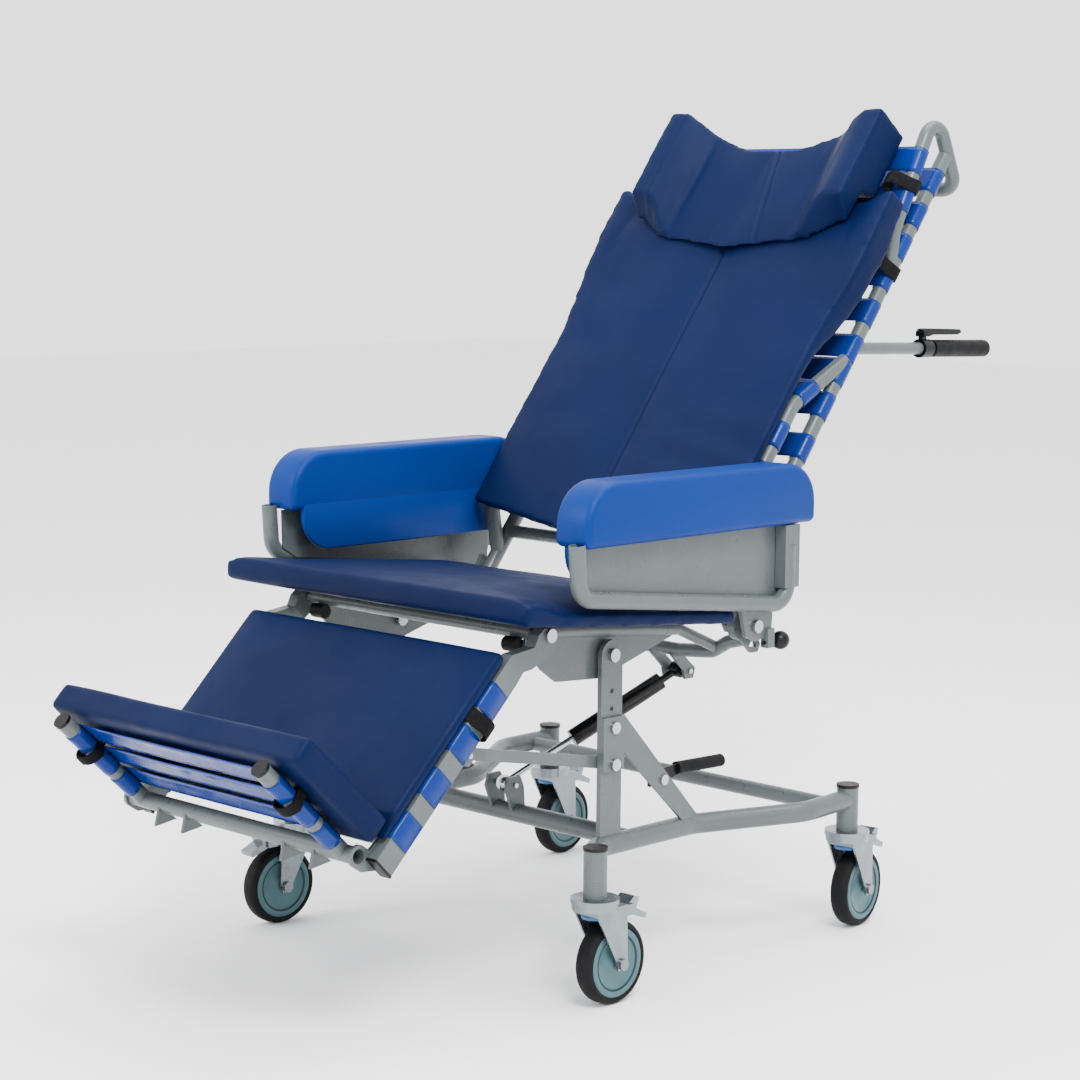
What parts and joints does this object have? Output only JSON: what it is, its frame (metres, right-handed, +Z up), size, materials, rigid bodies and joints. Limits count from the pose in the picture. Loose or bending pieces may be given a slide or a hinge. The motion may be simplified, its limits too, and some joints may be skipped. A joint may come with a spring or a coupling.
{
  "type": "patient recliner chair",
  "caption": "Reclining patient chair on braked castors, with a tilting seat, folding back, leg and foot rests, swing-up arms and a locking gas spring.",
  "frame": {"origin": "on the floor under the middle of the chair's bounding box", "axes": "+X to the occupant's left, -Y to the front (foot rest), +Z up"},
  "size_m": [0.736, 1.5869, 1.3094],
  "materials": {
    "navy_fabric": "vinyl-coated weave, satin",
    "blue_vinyl": "glossy vinyl strap",
    "blue_foam": "skinned foam",
    "zinc": "bright zinc",
    "wheel_disc": "satin",
    "black_tyre": "matte",
    "black_plastic": "satin",
    "black_rubber": "matte",
    "bolt_steel": "zinc plate",
    "bright_rod": "polished",
    "black_paint": "semi-gloss",
    "grey_paint": "semi-gloss powder coat"
  },
  "bodies": {
    "base": {"base_frame": "grey_paint", "lower_uprights": "grey_paint", "upper_uprights": "grey_paint", "brace_plates": "grey_paint", "upright_bolts": "bolt_steel", "spring_foot_pin": "bolt_steel", "socket_caps": "black_plastic", "castor_stems": "zinc", "foot_pedal_pin": "bolt_steel"},
    "seat": {"seat_frame": "grey_paint", "seat_pins": "bolt_steel", "spring_head_pin": "bolt_steel", "seat_bumpers": "black_rubber", "seat_cushion": "navy_fabric"},
    "back": {"back_frame": "grey_paint", "back_straps": "blue_vinyl", "back_cushion": "navy_fabric", "head_cushion": "navy_fabric", "handle_grips": "black_rubber", "lever_clamps": "black_plastic"},
    "leg_rest": {"leg_frame": "grey_paint", "leg_rail_plugs": "black_plastic", "link_end_pins": "bolt_steel", "leg_straps": "blue_vinyl", "leg_cushion": "navy_fabric"},
    "foot_rest": {"foot_frame": "grey_paint", "foot_tube_caps": "black_plastic", "foot_straps": "blue_vinyl", "foot_cushion": "navy_fabric"},
    "foot_pedal": {"foot_pedal_lever": "black_plastic", "foot_pedal_grip": "black_rubber"},
    "spring_rod": {"spring_rod": "bright_rod"},
    "spring_cylinder": {"spring_cylinder": "black_paint"},
    "recline_lever_left": {"recline_lever_left": "black_plastic"},
    "link_left": {"leg_link_left": "grey_paint"},
    "arm_left": {"arm_frame_left": "grey_paint", "arm_pad_left": "blue_foam"},
    "arm_knob_left": {"arm_lock_knob_left": "black_plastic"},
    "recline_lever_right": {"recline_lever_right": "black_plastic"},
    "link_right": {"leg_link_right": "grey_paint"},
    "arm_right": {"arm_frame_right": "grey_paint", "arm_pad_right": "blue_foam"},
    "arm_knob_right": {"arm_lock_knob_right": "black_plastic"},
    "castor_front_left": {"castor_fork_front_left": "zinc"},
    "wheel_front_left": {"castor_hub_front_left": "wheel_disc", "castor_tread_front_left": "black_tyre"},
    "brake_front_left": {"brake_pedal_front_left": "zinc"},
    "castor_front_right": {"castor_fork_front_right": "zinc"},
    "wheel_front_right": {"castor_hub_front_right": "wheel_disc", "castor_tread_front_right": "black_tyre"},
    "brake_front_right": {"brake_pedal_front_right": "zinc"},
    "castor_rear_left": {"castor_fork_rear_left": "zinc"},
    "wheel_rear_left": {"castor_hub_rear_left": "wheel_disc", "castor_tread_rear_left": "black_tyre"},
    "brake_rear_left": {"brake_pedal_rear_left": "zinc"},
    "castor_rear_right": {"castor_fork_rear_right": "zinc"},
    "wheel_rear_right": {"castor_hub_rear_right": "wheel_disc", "castor_tread_rear_right": "black_tyre"},
    "brake_rear_right": {"brake_pedal_rear_right": "zinc"}
  },
  "joints": [
    {"name": "seat_tilt", "type": "hinge", "parent": "base", "child": "seat", "pos_m": [0, -0.13, 0.492], "axis": [-1, 0, 0], "range_deg": [-5, 18]},
    {"name": "back_recline", "type": "hinge", "parent": "seat", "child": "back", "pos_m": [0, 0.1, 0.52], "axis": [-1, 0, 0], "range_deg": [-25, 35]},
    {"name": "leg_rest_swing", "type": "hinge", "parent": "seat", "child": "leg_rest", "pos_m": [0, -0.294, 0.543], "axis": [-1, 0, 0], "range_deg": [-17, 6]},
    {"name": "link_swing_left", "type": "hinge", "parent": "base", "child": "link_left", "pos_m": [0.2318, -0.13, 0.327], "axis": [-1, 0, 0], "range_deg": [-4, 12]},
    {"name": "link_swing_right", "type": "hinge", "parent": "base", "child": "link_right", "pos_m": [-0.2318, -0.13, 0.327], "axis": [-1, 0, 0], "range_deg": [-4, 12]},
    {"name": "spring_swing", "type": "hinge", "parent": "base", "child": "spring_rod", "pos_m": [-0.02, -0.091, 0.249], "axis": [-0.7962, 0.5664, -0.2126], "range_deg": [-5, 14]},
    {"name": "spring_stroke", "type": "slide", "parent": "spring_rod", "child": "spring_cylinder", "axis": [0.4078, 0.762, 0.503], "range_m": [-0.07, 0.02]},
    {"name": "foot_rest_fold", "type": "hinge", "parent": "leg_rest", "child": "foot_rest", "pos_m": [0, -0.64112, 0.27704], "axis": [1, 0, 0], "range_deg": [0, 80]},
    {"name": "arm_swing_left", "type": "hinge", "parent": "seat", "child": "arm_left", "pos_m": [0.325, 0.1, 0.52], "axis": [-1, 0, 0], "range_deg": [0, 95]},
    {"name": "arm_lock_pull_left", "type": "slide", "parent": "arm_left", "child": "arm_knob_left", "axis": [0, 1, 0], "range_m": [0, 0.01], "stiffness_N_per_m": 900, "springref_m": -0.006},
    {"name": "recline_squeeze_left", "type": "hinge", "parent": "back", "child": "recline_lever_left", "pos_m": [0.256, 0.612, 0.95], "axis": [-1, 0, 0], "range_deg": [0, 2.8], "stiffness_Nm_per_rad": 8, "springref_deg": -2.86},
    {"name": "arm_swing_right", "type": "hinge", "parent": "seat", "child": "arm_right", "pos_m": [-0.325, 0.1, 0.52], "axis": [-1, 0, 0], "range_deg": [0, 95]},
    {"name": "arm_lock_pull_right", "type": "slide", "parent": "arm_right", "child": "arm_knob_right", "axis": [0, 1, 0], "range_m": [0, 0.01], "stiffness_N_per_m": 900, "springref_m": -0.006},
    {"name": "recline_squeeze_right", "type": "hinge", "parent": "back", "child": "recline_lever_right", "pos_m": [-0.256, 0.612, 0.95], "axis": [-1, 0, 0], "range_deg": [0, 2.8], "stiffness_Nm_per_rad": 8, "springref_deg": -2.86},
    {"name": "foot_pedal_press", "type": "hinge", "parent": "base", "child": "foot_pedal", "pos_m": [0.2326, -0.018, 0.287], "axis": [-1, 0, 0], "range_deg": [0, 16], "stiffness_Nm_per_rad": 12, "springref_deg": -3.44},
    {"name": "swivel_front_left", "type": "hinge", "parent": "base", "child": "castor_front_left", "pos_m": [0.332, -0.257, 0.15], "axis": [0, 0, 1], "continuous": true},
    {"name": "roll_front_left", "type": "hinge", "parent": "castor_front_left", "child": "wheel_front_left", "pos_m": [0.332, -0.223, 0.0625], "axis": [1, 0, 0], "continuous": true},
    {"name": "brake_press_front_left", "type": "hinge", "parent": "castor_front_left", "child": "brake_front_left", "pos_m": [0.332, -0.199, 0.137], "axis": [-1, 0, 0], "range_deg": [0, 8]},
    {"name": "swivel_front_right", "type": "hinge", "parent": "base", "child": "castor_front_right", "pos_m": [-0.332, -0.257, 0.15], "axis": [0, 0, 1], "continuous": true},
    {"name": "roll_front_right", "type": "hinge", "parent": "castor_front_right", "child": "wheel_front_right", "pos_m": [-0.33437, -0.29092, 0.0625], "axis": [-0.9976, 0.0698, 0], "continuous": true},
    {"name": "brake_press_front_right", "type": "hinge", "parent": "castor_front_right", "child": "brake_front_right", "pos_m": [-0.33605, -0.31486, 0.137], "axis": [0.9976, -0.0698, 0], "range_deg": [0, 8]},
    {"name": "swivel_rear_left", "type": "hinge", "parent": "base", "child": "castor_rear_left", "pos_m": [0.332, 0.337, 0.15], "axis": [0, 0, 1], "continuous": true},
    {"name": "roll_rear_left", "type": "hinge", "parent": "castor_rear_left", "child": "wheel_rear_left", "pos_m": [0.32727, 0.37067, 0.0625], "axis": [0.9903, 0.1392, 0], "continuous": true},
    {"name": "brake_press_rear_left", "type": "hinge", "parent": "castor_rear_left", "child": "brake_rear_left", "pos_m": [0.32393, 0.39444, 0.137], "axis": [-0.9903, -0.1392, 0], "range_deg": [0, 8]},
    {"name": "swivel_rear_right", "type": "hinge", "parent": "base", "child": "castor_rear_right", "pos_m": [-0.332, 0.337, 0.15], "axis": [0, 0, 1], "continuous": true},
    {"name": "roll_rear_right", "type": "hinge", "parent": "castor_rear_right", "child": "wheel_rear_right", "pos_m": [-0.33378, 0.37095, 0.0625], "axis": [0.9986, 0.0523, 0], "continuous": true},
    {"name": "brake_press_rear_right", "type": "hinge", "parent": "castor_rear_right", "child": "brake_rear_right", "pos_m": [-0.33504, 0.39492, 0.137], "axis": [-0.9986, -0.0523, 0], "range_deg": [0, 8]}
  ],
  "couplings": [
    {"joint": "leg_rest_swing", "follows": "seat_tilt", "ratio": -0.86},
    {"joint": "link_swing_left", "follows": "seat_tilt", "ratio": 0.585},
    {"joint": "link_swing_right", "follows": "seat_tilt", "ratio": 0.585},
    {"joint": "spring_swing", "follows": "seat_tilt", "ratio": 0.7101},
    {"joint": "spring_stroke", "follows": "seat_tilt", "m_per_rad": -0.2071}
  ]
}
